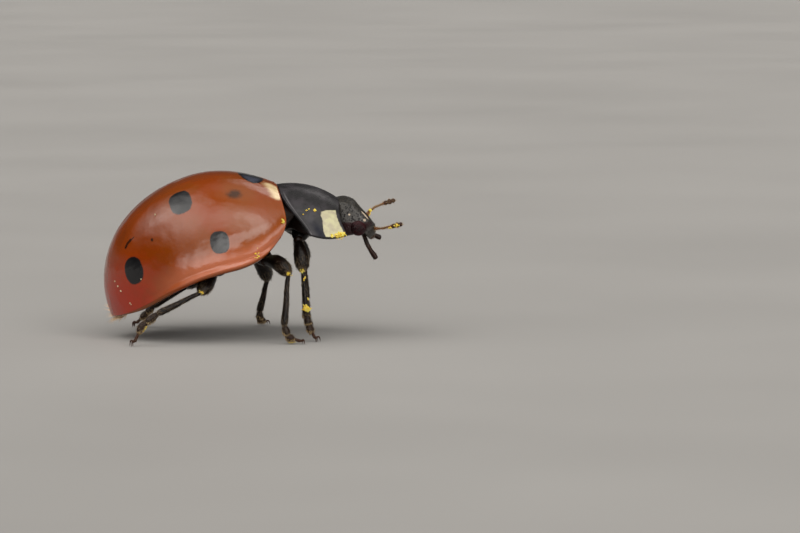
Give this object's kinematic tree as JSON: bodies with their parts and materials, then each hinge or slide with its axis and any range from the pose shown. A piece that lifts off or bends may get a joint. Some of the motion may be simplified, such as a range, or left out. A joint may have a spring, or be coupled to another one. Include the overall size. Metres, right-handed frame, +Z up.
{
  "type": "ladybird beetle",
  "caption": "Still life-size ladybird beetle standing nose up, with domed spotted red wing cases, a black shield with pale corners, a small head, feelers and thin legs.",
  "frame": {"origin": "on the floor under the feet, below the centre of the bounding box", "axes": "+X towards the head, +Y towards the beetle's left, +Z up from the floor"},
  "size_m": [0.008, 0.0058, 0.0045],
  "materials": {
    "wing_case": "glossy orange-brown wing case with black spots and a pale patch by the base",
    "shield": "glossy black with a cream patch on each front corner",
    "underside": "black, finely punctured, short pale hairs",
    "head": "black, finely punctured, with a small pale spot by each eye",
    "eye": "black faceted eye with a faint red-purple sheen",
    "feeler": "brown, darker at the club",
    "mouthparts": "black-brown",
    "leg": "black with short grey-brown hairs"
  },
  "bodies": {
    "root": {"scutellum": "shield", "elytron_right": "wing_case", "elytron_left": "wing_case", "pronotum": "shield", "abdomen": "underside", "thorax": "underside", "prothorax": "underside", "eye_right": "eye", "eye_left": "eye", "head": "head", "mouthparts": "mouthparts", "antenna_right": "feeler", "antenna_club_right": "feeler", "palp_right": "mouthparts", "antenna_left": "feeler", "antenna_club_left": "feeler", "palp_left": "mouthparts", "coxa_front_right": "leg", "femur_front_right": "leg", "tibia_front_right": "leg", "tarsus_front_right": "leg", "coxa_front_left": "leg", "femur_front_left": "leg", "tibia_front_left": "leg", "tarsus_front_left": "leg", "coxa_middle_right": "leg", "femur_middle_right": "leg", "tibia_middle_right": "leg", "tarsus_middle_right": "leg", "coxa_middle_left": "leg", "femur_middle_left": "leg", "tibia_middle_left": "leg", "tarsus_middle_left": "leg", "coxa_hind_right": "leg", "femur_hind_right": "leg", "tibia_hind_right": "leg", "tarsus_hind_right": "leg", "coxa_hind_left": "leg", "femur_hind_left": "leg", "tibia_hind_left": "leg", "tarsus_hind_left": "leg"}
  },
  "joints": []
}
